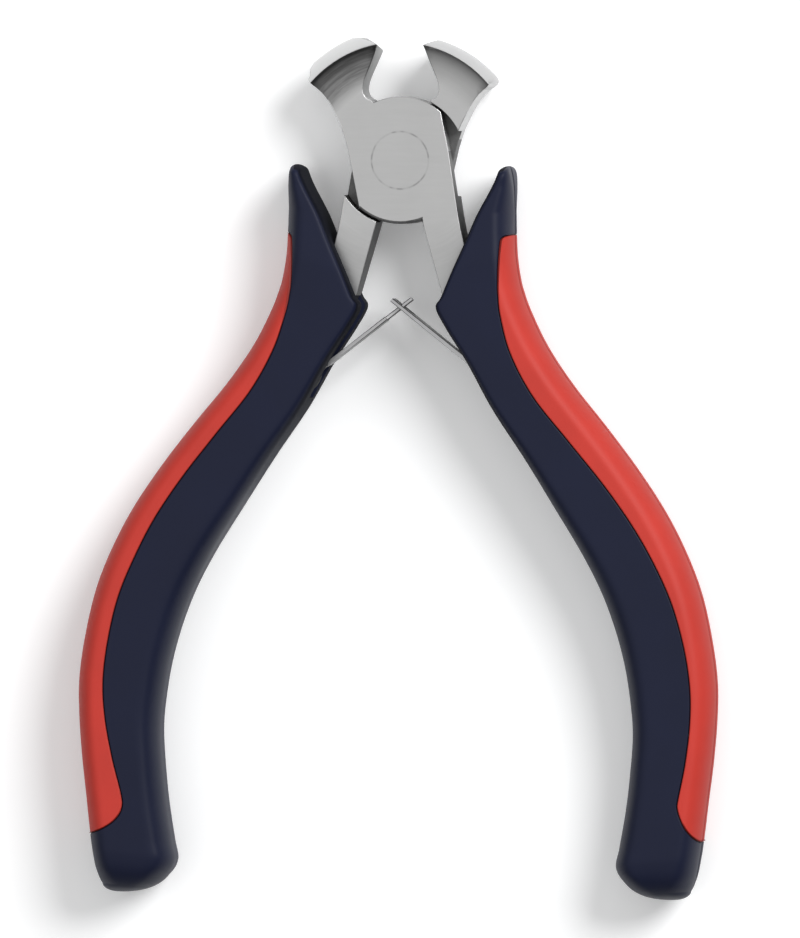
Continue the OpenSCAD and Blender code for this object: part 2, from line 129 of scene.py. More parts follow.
# Ribs: outer and inner ends as shares of reach and length, half thickness, inner rounding
RIBS = (
    (0.479, 0.0335, 0.443, 0.0335, 0.42, 0.15),
    (0.494, 0.0405, 0.441, 0.0405, 0.84, 0.32),
    (0.491, 0.06, 0.392, 0.0595, 0.88, 0.32),
    (0.474, 0.089, 0.306, 0.089, 0.92, 0.32),
    (0.455, 0.118, 0.228, 0.121, 0.96, 0.32),
    (0.438, 0.148, 0.148, 0.153, 1, 0.3),
    (0.433, 0.177, 0.079, 0.182, 1, 0.28),
    (0.437, 0.195, 0.044, 0.195, 1, 0.28),
    (0.453, 0.222, 0.07, 0.222, 1, 0.3),
    (0.5, 0.27, 0.14, 0.273, 1, 0.34),
    (0.584, 0.325, 0.213, 0.337, 1, 0.44),
    (0.698, 0.385, 0.317, 0.408, 1, 0.58),
    (0.803, 0.444, 0.412, 0.479, 1, 0.72),
    (0.895, 0.505, 0.489, 0.538, 1, 0.85),
    (0.956, 0.562, 0.543, 0.59, 1, 0.95),
    (0.993, 0.619, 0.574, 0.639, 1, 1),
    (1, 0.68, 0.588, 0.688, 1, 1),
    (0.988, 0.735, 0.584, 0.735, 1, 1),
    (0.954, 0.782, 0.566, 0.78, 1, 1),
    (0.904, 0.832, 0.522, 0.827, 1, 1),
    (0.847, 0.881, 0.47, 0.873, 1, 1),
    (0.79, 0.93, 0.408, 0.919, 1, 1),
    (0.757, 0.956, 0.374, 0.943, 0.99, 1),
    (0.726, 0.977, 0.392, 0.9625, 0.9, 1),
    (0.69, 0.992, 0.445, 0.9815, 0.68, 1),
    (0.642, 1, 0.555, 0.996, 0.38, 1),
)
# Depth of the inlay at each rib, and what its front edge gains and its back edge loses
INLAY_SHARES = (
    0, 0, 0, 0.15, 0.24, 0.32, 0.43, 0.51, 0.64, 0.83, 0.95, 0.93, 0.88, 0.86, 0.84,
    0.8, 0.76, 0.76, 0.79, 0.88, 1, 1, 0.9, 0, 0, 0,
)
LEAN_SHARES = (
    0, 0, 0, 0.04, 0.05, 0.06, 0.07, 0.08, 0.1, 0.12, 0.12, 0.1, 0.07, 0.04, 0, -0.03,
    -0.07, -0.1, -0.14, -0.19, -0.23, -0.22, -0.2, 0, 0, 0,
)
RIB_RUN = len(RIBS) - 1
INLAY_TOP = RIB_RUN * INLAY_TOP_SHARE
INLAY_FOOT = RIB_RUN * INLAY_FOOT_SHARE
INLAY_LOBE = RIB_RUN * INLAY_LOBE_SHARE

# Seat of the spring's foot: its ends as shares of the run of ribs, and its depth
SEAT_TOP_SHARE = 0.3602
SEAT_LOW_SHARE = 0.42
SEAT_DEPTH = 0.9
# Groove over the seat: its corner at the arm's neck, and how far it is cut outwards
ARM_NECK = (2.01, -17.54)
GROOVE_OUT = 6.0
# Spring strip, its clearance in the groove, and the gap between foot and leaf
LEAF_THICK = 0.5
LEAF_WIDE = 3.0
LEAF_GAP = 0.3
BEND_GAP = 0.06
LEAF_CHAMFER = 0.1
# Foot: its length, and where its bend starts and turns, down from the seat's top
FOOT_LENGTH = 4.7
KNEE_DROP = 1.6
TURN_DROP = 0.6
FOOT_STEPS = 6
BEND_STEPS = 8

# Joint: half thickness, and the radii of the plate and of the shoulder
JOINT_HALF = 3.2
PLATE_RADIUS = 8.1
SHOULDER = 8.35
# Faint ring of the rivet: radius, and half widths of its dark core and of its fading
RIVET_RING = 3.65
RING_CORE = 0.03
RING_FADE = 0.17
# Arms: half thickness, and the length over which it is reached, in cuts
ARM_HALF = 2.4
ARM_BLEND = 12.0
ARM_STEPS = 8
# Points further from the middle plane than this are on the arm's front or back
ARM_SKIN = 2.35
# The bore's edges, inside this radius, stay sharp
BORE_CLEAR = 4.4
# Lower round end of the front plate, whose broken edge gets painted shade: width of that
# broken edge, least height, first and last angle
UNDERCUT_WIDTH = 0.36
UNDERCUT_LEVEL = 2.7
UNDERCUT_ARC = (-128, -62)
# Edges shorter than this beyond this radius, at the jaws' ends, aren't broken
JAW_END = 14.5
SHORT_EDGE = 0.6

# CAD copies: points nearer than this are merged, faces nearer in angle are joined, and
# edges from this angle up are sharp
MERGE = 0.001
COPLANAR = 0.6
SHARP_EDGE = 28
# Smooth shading reaches these angles, and the steel's follows larger faces by this weight
STEEL_SMOOTH = 32
GRIP_SMOOTH = 38
FACE_WEIGHT = 90
# Points of a grip nearer than this are merged, and shorter lengths give no direction
RING_MERGE = 1e-5
NO_LENGTH = 1e-9

# Faces that are flat, from this height of their normal up, or upright, up to this one
FLAT = 0.95
UPRIGHT = 0.3
# Finish left from the forging, partly painted shade: radius to which walls have it, top of
# the lap's walls, half height of the lap's faces, which get painted shade, and the level of
# painted shade on the throats
FORGED_AND_SHADE_REACH = 9.6
LAP_TOP = 2.6
LAP_HALF = 0.6
THROAT_SHADE = 0.4
# Jaws: radii where they start, where grinding arcs are plain and where the painted shade on
# their concave faces is full
FLARE_START = 9.6
FLARE_MARKED = 10.8
FLARE_FULL = 12.4
# Stretch of the grinding arcs, as a length for one radian and a share of the height
ARC_LENGTH = 0.9
ARC_HEIGHT = 0.5
# Levers: node, side, and levels of the painted shade on the jaws' concave faces and of the
# painted highlight on their crowns
LEVERS = (("front_lever", 1, 0.95, 0.55), ("back_lever", -1, 0.22, 0.2))
# Painted shade on the walls that face the other grip: the normal's height where it ends and
# its fading, its lowest place below the pivot and its fading
WALL_TILT = 0.6
WALL_TILT_FADE = 0.25
WALL_FOOT = 44.0
WALL_FADE = 14.0

# Height that the noise in a Bump node stands for
GRAIN_HEIGHT = 0.03
STRIP_GRAIN_HEIGHT = 0.02

# Stage, in metres. Table: half its side, its colour for the light on the tool, and its
# colour and glow for the camera and for reflections
TABLE_REACH = 3.0
TABLE_GREY = (0.3, 0.3, 0.3, 1)
TABLE_WHITE = (0.96, 0.965, 0.97, 1)
TABLE_GLOW = 0.14
# Lamps: name, place, width and power in watts, and the place that they aim at
LAMPS = (
    ("key_lamp", (0.52, 0.40, 0.60), 0.5, 7.4),
    ("fill_lamp", (-0.60, 0.10, 0.80), 0.9, 1.0),
)
LAMP_AIM = (0, -0.01, 0.005)
# Least strength of the sky
SKY_LEAST = 0.04
WHITE = (1, 1, 1, 1)
# Camera: width of its sensor in millimetres, and how far it sees
SENSOR = 36.0
CLIP_END = 20.0
# The picture's size and the pivot's place in it, in pixels from the top left
PICTURE = (800, 938)
PIVOT_PIXEL = Vector((400.0, 160.3))


class Sock:
    """A socket in a node tree that can be used in a Python expression on values."""

    def __init__(self, tree, socket):
        self.tree = tree
        self.socket = socket

    def _math(self, operation, *values):
        return self.tree.node("ShaderNodeMath", {"operation": operation}, list(values))

    def __add__(self, other):
        return self._math("ADD", self, other)

    def __radd__(self, other):
        return self._math("ADD", other, self)

    def __sub__(self, other):
        return self._math("SUBTRACT", self, other)

    def __rsub__(self, other):
        return self._math("SUBTRACT", other, self)

    def __mul__(self, other):
        return self._math("MULTIPLY", self, other)

    def __rmul__(self, other):
        return self._math("MULTIPLY", other, self)

    def __abs__(self):
        return self._math("ABSOLUTE", self)

    def root(self):
        return self._math("SQRT", self)

    def angle_with(self, other):
        """The angle whose tangent is this value over the other, all the way round."""
        return self._math("ARCTAN2", self, other)

    def ramp(self, low, high):
        """0 below low and 1 above high, smooth between."""
        settings = {"interpolation_type": "SMOOTHSTEP"}
        return self.tree.node("ShaderNodeMapRange", settings, {0: self, 1: low, 2: high})


class Tree:
    """A node tree, cleared, with one method that adds any node."""

    def __init__(self, owner):
        owner.use_nodes = True
        self.nodes = owner.node_tree.nodes
        self.links = owner.node_tree.links
        self.nodes.clear()

    def node(self, kind, settings=None, inputs=None, output=0):
        """Adds a node: settings first, then values or links of its sockets."""
        made = self.nodes.new(kind)
        for name, value in (settings or {}).items():
            setattr(made, name, value)
        pairs = inputs.items() if isinstance(inputs, dict) else enumerate(inputs or [])
        for key, value in pairs:
            if isinstance(value, Sock):
                self.links.new(value.socket, made.inputs[key])
            else:
                made.inputs[key].default_value = value
        return Sock(self, made.outputs[output]) if len(made.outputs) else made

    def mix(self, share, first, second):
        """The first colour at a share of 0 and the second at 1."""
        settings = {"data_type": "RGBA"}
        return self.node("ShaderNodeMix", settings, {0: share, 6: first, 7: second}, 2)

    def place(self):
        """Object coordinates."""
        return self.node("ShaderNodeTexCoord", output=3)

    def attribute(self, name):
        """A number that the mesh carries."""
        return self.node("ShaderNodeAttribute", {"attribute_name": name}, output=2)

    def split(self, vector):
        """The three parts of a vector."""
        first = self.node("ShaderNodeSeparateXYZ", None, {0: vector})
        return [Sock(self, socket) for socket in first.socket.node.outputs]

    def noise(self, scale, detail, roughness=0.5, where=None, stretch=(1, 1, 1), turn=0.0):
        if where is None:
            where = self.node(
                "ShaderNodeMapping", None, {0: self.place(), 2: (0, 0, turn), 3: stretch})
        return self.node("ShaderNodeTexNoise", None, {
            "Vector": where, "Scale": scale, "Detail": detail, "Roughness": roughness})

    def bump(self, height, strength, distance):
        return self.node("ShaderNodeBump", None,
                         {"Strength": strength, "Distance": distance, "Height": height})


def surface(name, inputs):
    """A material whose Principled shader takes the socket values that inputs(tree) gives."""
    material = bpy.data.materials.new(name)
    tree = Tree(material)
    shader = tree.node("ShaderNodeBsdfPrincipled", None, inputs(tree))
    tree.node("ShaderNodeOutputMaterial", None, {0: shader})
    return material


def rgba(colour, share=1.0):
    """A colour with alpha, its parts scaled by a share."""
    return tuple(part * share for part in colour) + (1.0,)


def ground_steel(looks):
    """Satin ground tool steel: straight grain on the flats, grinding arcs on the jaws.

    Three attributes darken or brighten it: the finish left from the forging on walls, which
    also paints shade on the laps, throats and a broken edge; painted shade on the jaws'
    concave faces; and a painted highlight on their crowns.
    """

    def inputs(tree):
        x, y, z = tree.split(tree.place())
        across = x - PIVOT.x
        along = y - PIVOT.y
        radius = (across * across + along * along).root()
        arcs_place = tree.node("ShaderNodeCombineXYZ", None, [
            radius, across.angle_with(along) * (ARC_LENGTH * MM), z * ARC_HEIGHT])
        arcs = tree.noise(2600, 4, 0.65, where=arcs_place)
        grain = tree.noise(1700, 3, 0.6, stretch=(0.12, 1, 1), turn=math.radians(-6))
        cloud = tree.noise(170, 3)
        jaws = radius.ramp(FLARE_START * MM, FLARE_MARKED * MM)
        marks = grain * (1 - jaws) + arcs * jaws
        # Darker finish left from the forging on walls, also painted shade on laps, throats and an
        # edge
        forged_and_shade = tree.attribute("forged_and_shade")
        scale = tree.noise(1100, 4, 0.7)
        ring = 1 - abs(radius - RIVET_RING * MM).ramp(RING_CORE * MM, RING_FADE * MM)
        spots = tree.noise(700, 1).ramp(0.4, 0.6)
        lighter = marks * (0.35 + 0.4 * jaws) + cloud * 0.4
        # Painted shade on the jaws' concave faces, growing outwards from the joint
        hollow = tree.attribute("hollow") * radius.ramp(FLARE_START * MM, FLARE_FULL * MM)
        depth = hollow * (0.6 + 0.35 * arcs.ramp(0.3, 0.7))
        clean = tree.mix(lighter, rgba(looks.steel, 0.78), rgba(looks.steel, 1.05))
        # Painted highlight on the jaws' crowns
        crowned = tree.mix(tree.attribute("crown"), clean, rgba(looks.steel, 1.45))
        shade = tree.mix(depth, crowned, rgba(looks.steel, 0.22))
        ringed = tree.mix(ring * (0.1 + 0.35 * spots), shade, rgba(looks.steel, 0.2))
        return {
            "Base Color": tree.mix(forged_and_shade * (0.75 + 0.25 * scale), ringed, rgba(looks.forged_and_shade)),
            "Metallic": 1.0,
            "Roughness": 0.26 + 0.14 * marks + 0.06 * jaws + 0.2 * forged_and_shade,
            "Normal": tree.bump(marks + forged_and_shade * scale, 0.2, GRAIN_HEIGHT * MM),
        }

    return surface("ground_steel", inputs)


def spring_strip(looks):
    """Rolled spring strip with fine length marks, and painted shade on its marked faces."""

    def inputs(tree):
        grain = tree.noise(2600, 3, 0.6, stretch=(0.25, 0.25, 1))
        # Painted shade on the strip's marked faces
        forged_and_shade = tree.attribute("forged_and_shade")
        rolled = tree.mix(grain, rgba(looks.spring, 0.75), rgba(looks.spring, 1.15))
        return {
            "Base Color": tree.mix(forged_and_shade * 0.85, rolled, rgba(looks.forged_and_shade, 0.5)),
            "Metallic": 1.0,
            "Roughness": 0.24 + 0.14 * grain,
            "Normal": tree.bump(grain, 0.1, STRIP_GRAIN_HEIGHT * MM),
        }

    return surface("spring_strip", inputs)


def groove_shade_steel(looks):
    """The small heads that hold the springs, painted near-black as the shade in their grooves."""

    def inputs(tree):
        grain = tree.noise(2600, 3, 0.6)
        return {
            "Base Color": tree.mix(grain, rgba(looks.forged_and_shade, 0.15), rgba(looks.forged_and_shade, 0.4)),
            "Roughness": 0.65 + 0.1 * grain,
            "Specular IOR Level": 0.15,
        }

    return surface("groove_shade_steel", inputs)


def moulded(name, colour, roughness, gloss, texture, seam_shade_share):
    """Moulded plastic with a fine spark-eroded texture and faint flow clouds.

    Two attributes paint shade on it: along the seam and the parting line, and on the upper
    walls that face the other grip.
    """

    def inputs(tree):
        fine = tree.noise(5200, 2, 0.6)
        cloud = tree.noise(140, 3)
        clean = tree.mix(cloud, rgba(colour, 0.82), rgba(colour, 1.1))
        # Painted shade along the seam and the parting line, and on walls facing the other grip
        seam = tree.attribute("seam").ramp(0.05, 0.55)
        wall = tree.attribute("wall")
        return {
            "Base Color": tree.mix(
                seam_shade_share * seam + 0.75 * wall * (1 - seam), clean, rgba(colour, 0.06)),
            "Roughness": roughness + 0.12 * cloud - 0.05 * fine + 0.35 * wall,
            "Specular IOR Level": gloss,
            "Normal": tree.bump(fine, texture, GRAIN_HEIGHT * MM),
        }

    return surface(name, inputs)


def smooth_rows(rows, at):
    """Values of a list of rows at fractional row numbers, on a smooth curve through them."""
    rows = np.asarray(rows, float).reshape(len(rows), -1)
    at = np.asarray(at, float)
    i = np.clip(np.floor(at).astype(int), 0, len(rows) - 2)
    t = (at - i)[:, None]
    a, b, c, d = (rows[np.clip(i + k, 0, len(rows) - 1)] for k in (-1, 0, 1, 2))
    return (2 * b + (c - a) * t + (2 * a - 5 * b + 4 * c - d) * t**2
            + (3 * b - a - 3 * c + d) * t**3) / 2


class GripForm:
    """Ribs of the grip at a list of rib numbers, with sections and inlay depths there."""

    def __init__(self, at, inlaid=np.True_):
        self.at = np.asarray(at, float)
        size = np.array([GRIP_REACH, -GRIP_LENGTH])
        rows = smooth_rows(RIBS, self.at)
        self.outer = rows[:, 0:2] * size
        self.inner = rows[:, 2:4] * size
        self.width = np.linalg.norm(self.inner - self.outer, axis=1)[:, None]
        self.inward = (self.inner - self.outer) / self.width
        self.half = np.minimum(rows[:, 4:5], 1) * GRIP_HALF
        self.round_outer = self._rounding(
            np.minimum(ROUND_ACROSS, self.width * ROUND_OUTER_SHARE))
        self.round_inner = self._rounding(np.minimum(
            ROUND_ACROSS * np.minimum(rows[:, 5:6], 1), self.width * ROUND_INNER_SHARE))
        left = np.clip((INLAY_FOOT - self.at) / INLAY_LOBE, 0, 1)
        self.short = 1 - left[:, None]
        self.inlaid = (inlaid & (left > 0))[:, None]
        near = 1 - np.clip((self.at - INLAY_TOP) / TOP_ROUND_RIBS, 0, 1)
        self.cut = np.where(inlaid, 1 - np.sqrt(1 - near**2), 0)[:, None] * TOP_ROUND

    def _rounding(self, across):
        """How far a rounded edge reaches across and up."""
        return across, np.minimum(ROUND_UP * across / ROUND_ACROSS, self.half * ROUND_HEIGHT_SHARE)

    def depth(self, up):
        """Depth of the inlay, from the grip's back (-1) to its front (1)."""
        mean = smooth_rows(INLAY_SHARES, self.at)
        lean = smooth_rows(LEAN_SHARES, self.at)
        back, front = LOBE_POWERS
        power = back + (front - back) * (up + 1) / 2
        lobe = INLAY_DEPTH * (1 - self.short**power)
        return np.where(self.inlaid, np.maximum(lobe * (mean + up * lean) - self.cut, 0), 0)

    def rise(self, distance):
        """Half height of the section at a distance in from the outer end."""
        across, up = self.round_outer
        left = np.clip(1 - distance / across, 0, 1)
        return self.half - up + up * np.sqrt(1 - left * left)

    def from_outer(self, distance):
        """Points at a distance in from each rib's outer end."""
        return self.outer + self.inward * distance

    def from_inner(self, distance):
        """Points at a distance in from each rib's inner end."""
        return self.inner - self.inward * distance


def parting_heights(low, high, parting):
    """Heights up a side wall, close together at the parting line, and that line's column."""
    middle = np.minimum(parting, high * PARTING_LOW)
    reach = np.minimum(PARTING_REACH, high * PARTING_LOW_REACH)
    below = [low + (middle - reach - low) * k / WALL_LOW_STEPS for k in range(WALL_LOW_STEPS)]
    at = [middle + reach * k for k in PARTING_PLACES]
    above = [middle + reach + (high - middle - reach) * k / WALL_HIGH_STEPS
             for k in range(1, WALL_HIGH_STEPS + 1)]
    return np.hstack(below + at + above), WALL_LOW_STEPS + PARTING_PLACES.index(0)


def sleeve_rings(form, parting):
    """Distances in and heights of the sleeve's rings, and the parting line's column."""
    front, back = form.depth(1), form.depth(-1)
    heights, line = parting_heights(-form.rise(back), form.rise(front), parting)
    walls = form.depth(heights / form.half)
    across, up = form.round_inner
    flat = form.width - across
    eased = [1 - math.cos(math.pi / 2 * k / FLAT_STEPS) for k in range(1, FLAT_STEPS + 1)]
    fronts = np.hstack([front + (flat - front) * s for s in eased])
    backs = np.hstack([back + (flat - back) * s for s in eased[-2::-1]])
    turns = [math.radians(90 * k / ROUND_STEPS) for k in range(1, ROUND_STEPS + 1)]
    round_in = np.hstack([flat + across * math.sin(a) for a in turns])
    round_up = np.hstack([form.half - up + up * math.cos(a) for a in turns])
    side = np.hstack([(form.half - up) * (1 - 2 * k / INNER_STEPS)
                      for k in range(1, INNER_STEPS + 1)])
    inward = np.hstack([walls, fronts, round_in, np.repeat(form.width, INNER_STEPS, axis=1),
                        round_in[:, -2::-1], backs])
    raised = np.hstack([heights, form.rise(fronts), round_up, side,
                        -round_up[:, -2::-1], -form.rise(backs)])
    return inward, raised, line


def inlay_rings(form, parting):
    """Distances in and heights of the inlay's rings, and the parting line's column."""
    front, back = form.depth(1) - INLAY_PLAY, form.depth(-1) - INLAY_PLAY
    heights, line = parting_heights(-form.rise(0.0), form.rise(0.0), parting)
    eased = [(1 - math.cos(math.pi * k / INLAY_STEPS)) / 2 for k in range(1, INLAY_STEPS + 1)]
    fronts = np.hstack([front * s for s in eased])
    backs = np.hstack([back * s for s in eased[::-1]])
    high, low = form.rise(front), -form.rise(back)
    closing = np.hstack([high + (low - high) * k / CLOSING_STEPS
                         for k in range(1, CLOSING_STEPS)])
    walls = form.depth(closing / form.half) - INLAY_PLAY
    inward = np.hstack([backs, np.zeros_like(heights), fronts, walls])
    raised = np.hstack([-form.rise(backs), heights, form.rise(fronts), closing])
    return inward, raised, line + INLAY_STEPS


def seam_tree(form, up):
    """Points of the seam on the unrolled front (1) or back (-1), to measure distances from."""
    lengths = unrolled(form)
    inside = np.flatnonzero(form.inlaid[:, 0])
    depths = form.depth(up)[:, 0]
    points = []
    for i, j in zip(inside[:-1], inside[1:]):
        apart = math.hypot(lengths[j] - lengths[i], depths[j] - depths[i])
        steps = max(2, int(apart / SEAM_SPACING))
        for k in range(steps):
            t = k / steps
            points.append((lengths[i] + (lengths[j] - lengths[i]) * t,
                           depths[i] + (depths[j] - depths[i]) * t))
    for end in (inside[0], inside[-1]):
        points += [(lengths[end], depths[end] * k / END_STEPS) for k in range(END_STEPS + 1)]
    tree = KDTree(len(points))
    for index, (length, depth) in enumerate(points):
        tree.insert((length, depth, 0), index)
    tree.balance()
    return tree


def unrolled(form):
    """Length along the grip at each rib, measured just inside its outer side."""
    line = form.from_outer(UNROLL_DEPTH)
    steps = np.linalg.norm(np.diff(line, axis=0), axis=1)
    return np.concatenate([[0], np.cumsum(steps)])


def sink(form, rings, looks):
    """Sinks the rings along the seam and along the parting line, and gives the painted shade
    there: 0 to 1.
    """
    inward, raised, line = rings
    ahead = np.roll(inward, -1, axis=1) - np.roll(inward, 1, axis=1)
    ahead_up = np.roll(raised, -1, axis=1) - np.roll(raised, 1, axis=1)
    size = np.maximum(np.hypot(ahead, ahead_up), NO_LENGTH)
    normal_in, normal_up = -ahead_up / size, ahead / size
    lengths = unrolled(form)
    trees = {1: seam_tree(form, 1), -1: seam_tree(form, -1)}
    depth = np.zeros_like(inward)
    shade_mark = np.zeros_like(inward)
    # The parting line is sunk and gets painted shade
    for column, share in ((line - 1, PARTING_SIDE), (line, 1), (line + 1, PARTING_SIDE)):
        depth[:, column] = looks.parting_depth * share
        shade_mark[:, column] = share
    reach = looks.seam_width
    edge = max(form.depth(1).max(), form.depth(-1).max()) + reach
    for i, j in np.argwhere(inward < edge):
        side = 1 if raised[i, j] >= 0 else -1
        far = trees[side].find((lengths[i], inward[i, j], 0))[2]
        if far < reach:
            near = 1 - far / reach
            depth[i, j] = max(depth[i, j], looks.seam_depth * near**SEAM_POWER)
            shade_mark[i, j] = max(shade_mark[i, j], near**SEAM_SHADE_POWER)
    raised = np.clip(raised - normal_up * depth, -form.half, form.half)
    return inward - normal_in * depth, raised, shade_mark


def ring_mesh(name, form, inward, raised, shade_mark, *caps):
    """A closed mesh over rings, with the painted shade of the seam and parting line on its points.

    Caps give each end's dome: its radius and its first angle.
    """
    flat = form.outer[:, None, :] + form.inward[:, None, :] * inward[:, :, None]
    rings = list(np.dstack([flat, raised[:, :, None], shade_mark[:, :, None]]))
    for end, cap in zip((0, -1), caps):
        radius, first = cap[0], math.radians(cap[1])
        ring, neighbour = rings[end], rings[1 if end == 0 else -2]
        centre = ring.mean(axis=0)
        away = centre - neighbour.mean(axis=0)
        away *= radius / np.linalg.norm(away)
        for k in range(1, CAP_STEPS + 1):
            a = first + (math.radians(CAP_LAST_ANGLE) - first) * k / CAP_STEPS
            domed = (centre + (ring - centre) * math.cos(a) / math.cos(first)
                     + away * (math.sin(a) - math.sin(first)))
            rings.insert(0, domed) if end == 0 else rings.append(domed)
    count = len(rings[0])
    mesh = bmesh.new()
    seam = mesh.verts.layers.float.new("seam")
    verts = [[mesh.verts.new(point[:3]) for point in ring] for ring in rings]
    for row, ring in zip(verts, rings):
        for vert, point in zip(row, ring):
            vert[seam] = point[3]
    for lower, upper in zip(verts[:-1], verts[1:]):
        for j in range(count):
            k = (j + 1) % count
            mesh.faces.new((lower[j], upper[j], upper[k], lower[k]))
    mesh.faces.new(verts[0])
    mesh.faces.new(verts[-1][::-1])
    bmesh.ops.remove_doubles(mesh, verts=mesh.verts, dist=RING_MERGE)
    bmesh.ops.triangulate(mesh, faces=[face for face in mesh.faces if len(face.verts) > 4])
    bmesh.ops.recalc_face_normals(mesh, faces=mesh.faces)
    made = bpy.data.meshes.new(name)
    mesh.to_mesh(made)
    mesh.free()
    return made


def lever_matrix(side):
    """From a closed lever in millimetres to the open tool: 1 front lever, -1 back lever."""
    turn = Matrix.Rotation(side * OPEN_HALF, 4, "Z")
    if side < 0:
        turn = turn @ Matrix.Rotation(math.pi, 4, "Y")
    return Matrix.Translation(PIVOT) @ turn @ Matrix.Scale(MM, 4)


def new_piece(name, mesh):
    """A mesh, lamp or camera as an object in the scene."""
    piece = bpy.data.objects.new(name, mesh)
    bpy.context.scene.collection.objects.link(piece)
    return piece


def finish_with(piece, material):
    """Gives a piece one material."""
    piece.data.materials.clear()
    piece.data.materials.append(material)


def applied(piece):
    """Turns a piece with modifiers into a plain mesh."""
    evaluated = piece.evaluated_get(bpy.context.evaluated_depsgraph_get())
    mesh = bpy.data.meshes.new_from_object(evaluated)
    piece.modifiers.clear()
    piece.data = mesh
    return piece


def shade(piece, degrees, weight=0):
    """Smooth shading up to an angle, with normals held to the larger faces by a weight."""
    piece.data.shade_smooth()
    piece.data.set_sharp_from_angle(angle=math.radians(degrees))
    if weight:
        hold = piece.modifiers.new("hold", "WEIGHTED_NORMAL")
        hold.weight = weight
        hold.keep_sharp = True
        applied(piece)


def declare(piece, node, material):
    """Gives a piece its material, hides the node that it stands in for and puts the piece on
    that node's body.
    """
    finish_with(piece, material)
    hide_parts(node)
    for body, nodes in frame["record"]["behaviour"]["bodies"].items():
        if node in nodes:
            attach(piece, body)
    for part in frame["record"]["subparts"]:
        part["node"] == node


def ease_arm(work, side):
    """Spreads the step from the joint's thickness to the arm's over a longer slope."""
    matrix = lever_matrix(side)
    inverse = matrix.inverted()
    for k in range(1, ARM_STEPS + 1):
        place = matrix @ Vector((0, -SHOULDER - ARM_BLEND * k / ARM_STEPS, 0))
        normal = matrix.to_3x3() @ Vector((0, 1, 0))
        bmesh.ops.bisect_plane(work, geom=work.verts[:] + work.edges[:] + work.faces[:],
                               dist=MERGE * MM, plane_co=place, plane_no=normal)
    for vert in work.verts:
        local = inverse @ vert.co
        if local.y < -SHOULDER and abs(local.z) > ARM_SKIN:
            t = min((-SHOULDER - local.y) / ARM_BLEND, 1)
            half = JOINT_HALF - (JOINT_HALF - ARM_HALF) * t * t * (3 - 2 * t)
            local.z = math.copysign(half, local.z)
            vert.co = matrix @ local


def mark_finish_and_painted_light(piece, hollow_level, crown_level):
    """Marks faces: walls near and below the joint keep the finish left from the forging, partly
    painted shade; lap faces and the plate's lower broken edge get painted shade, throats lighter
    painted shade, the jaws' concave ground faces painted shade and their crowns a painted
    highlight.
    """
    forged_and_shade = piece.data.attributes.new("forged_and_shade", "FLOAT", "FACE")
    hollow = piece.data.attributes.new("hollow", "FLOAT", "FACE")
    crown = piece.data.attributes.new("crown", "FLOAT", "FACE")
    for face in piece.data.polygons:
        place = face.center - PIVOT
        radius = place.xy.length
        outward = face.normal.xy.dot(place.xy)
        level = 0.0
        # Walls keep the finish left from the forging, partly painted shade; throats get lighter
        # shade
        if abs(face.normal.z) < UPRIGHT:
            outside = outward > 0 and place.y > LAP_TOP * MM
            if not outside and (radius < FORGED_AND_SHADE_REACH * MM or place.y < 0):
                level = 1.0
            elif face.normal.x * place.x < 0:
                level = THROAT_SHADE
        # Painted shade on the lap's faces and on the front plate's lower broken edge
        elif abs(place.z) < LAP_HALF * MM or (
                face.normal.z < FLAT and undercut(place) and outward > 0):
            level = 1.0
        forged_and_shade.data[face.index].value = level
        if level == 0 and outward < 0 and radius > FLARE_START * MM:
            hollow.data[face.index].value = hollow_level
        elif level == 0 and place.y > LAP_TOP * MM and radius > SHOULDER * MM:
            crown.data[face.index].value = crown_level if abs(face.normal.z) < FLAT else 0.0


def mark_strip_shade(piece, front):
    """Marks a strip for painted shade: all of it, and its narrow front and back edges less: by
    the front level.
    """
    forged_and_shade = piece.data.attributes.new("forged_and_shade", "FLOAT", "FACE")
    for face in piece.data.polygons:
        forged_and_shade.data[face.index].value = 1.0 if abs(face.normal.z) < FLAT else front


def mark_wall_shade(piece, side):
    """Marks painted shade on the upper part of the grip's side walls that face the other grip."""
    wall = piece.data.attributes.new("wall", "FLOAT", "FACE")
    for face in piece.data.polygons:
        if face.normal.x * side < 0:
            steep = min(max((WALL_TILT - abs(face.normal.z)) / WALL_TILT_FADE, 0), 1)
            high = min(max((face.center.y - PIVOT.y) / MM + WALL_FOOT, 0) / WALL_FADE, 1)
            wall.data[face.index].value = steep * high


def undercut(place):
    """Whether a place is on the lower round end of the front plate."""
    turned = math.degrees(math.atan2(place.y, place.x))
    near = abs(place.xy.length - PLATE_RADIUS * MM) < UNDERCUT_WIDTH * MM
    first, last = UNDERCUT_ARC
    return near and place.z > UNDERCUT_LEVEL * MM and first < turned < last


